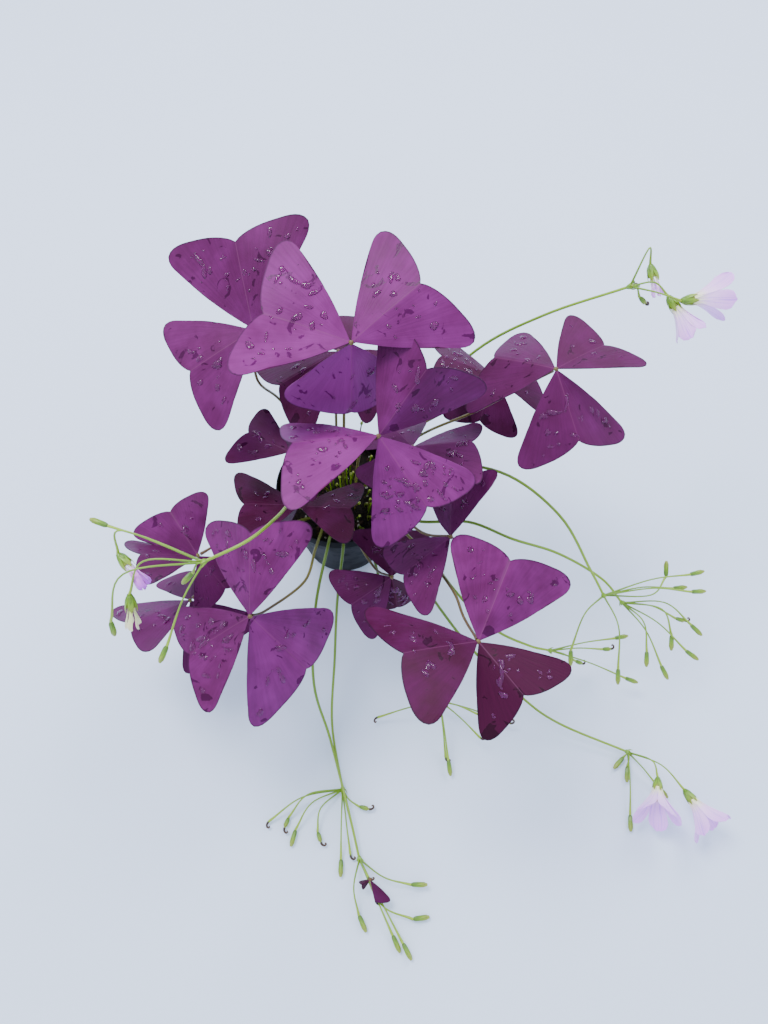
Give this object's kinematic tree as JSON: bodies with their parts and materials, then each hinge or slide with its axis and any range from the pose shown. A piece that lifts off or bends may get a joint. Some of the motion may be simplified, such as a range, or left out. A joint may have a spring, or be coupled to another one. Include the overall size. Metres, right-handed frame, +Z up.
{
  "type": "purple shamrock plant in a pot",
  "caption": "Potted purple shamrock: dark purple leaves of three folded, notched leaflets on thin stalks, and arching green flower stems with lilac bells.",
  "frame": {"origin": "centre of the underside of the pot's base", "axes": "+Z up along the pot's axis; -Y towards the viewer of the picture, where the long flower stems trail; +X to the viewer's right"},
  "size_m": [0.3987, 0.3724, 0.2635],
  "materials": {
    "purple_leaf": "satin",
    "leaf_stalk": "satin",
    "flower_stem": "satin",
    "petal": "matte",
    "pot_plastic": "satin",
    "potting_soil": "matte"
  },
  "bodies": {
    "root": {"bloom_back_right_bud": "petal", "bloom_back_right_inner": "petal", "bloom_back_right_outer": "petal", "bloom_front_right_far": "petal", "bloom_front_right_near": "petal", "bloom_left_lower": "petal", "bloom_left_upper": "petal", "leaf_back_inner_blades": "purple_leaf", "leaf_back_inner_stalk": "leaf_stalk", "leaf_back_left_blades": "purple_leaf", "leaf_back_left_stalk": "leaf_stalk", "leaf_crown_blades": "purple_leaf", "leaf_crown_stalk": "leaf_stalk", "leaf_front_blades": "purple_leaf", "leaf_front_left_blades": "purple_leaf", "leaf_front_left_stalk": "leaf_stalk", "leaf_front_right_blades": "purple_leaf", "leaf_front_right_outer_blades": "purple_leaf", "leaf_front_right_outer_stalk": "leaf_stalk", "leaf_front_right_stalk": "leaf_stalk", "leaf_front_stalk": "leaf_stalk", "leaf_inner_left_blades": "purple_leaf", "leaf_inner_left_stalk": "leaf_stalk", "leaf_inner_right_blades": "purple_leaf", "leaf_inner_right_stalk": "leaf_stalk", "leaf_left_blades": "purple_leaf", "leaf_left_low_blades": "purple_leaf", "leaf_left_low_stalk": "leaf_stalk", "leaf_left_stalk": "leaf_stalk", "leaf_middle_blades": "purple_leaf", "leaf_middle_stalk": "leaf_stalk", "leaf_over_rim_blades": "purple_leaf", "leaf_over_rim_stalk": "leaf_stalk", "leaf_right_blades": "purple_leaf", "leaf_right_inner_blades": "purple_leaf", "leaf_right_inner_stalk": "leaf_stalk", "leaf_right_stalk": "leaf_stalk", "pot": "pot_plastic", "scape_back_right": "flower_stem", "scape_front": "flower_stem", "scape_front_long": "flower_stem", "scape_front_mid": "flower_stem", "scape_front_right": "flower_stem", "scape_left": "flower_stem", "scape_right": "flower_stem", "scape_right_front": "flower_stem", "scape_right_lower": "flower_stem", "soil": "potting_soil", "young_leaf": "purple_leaf"}
  },
  "joints": []
}
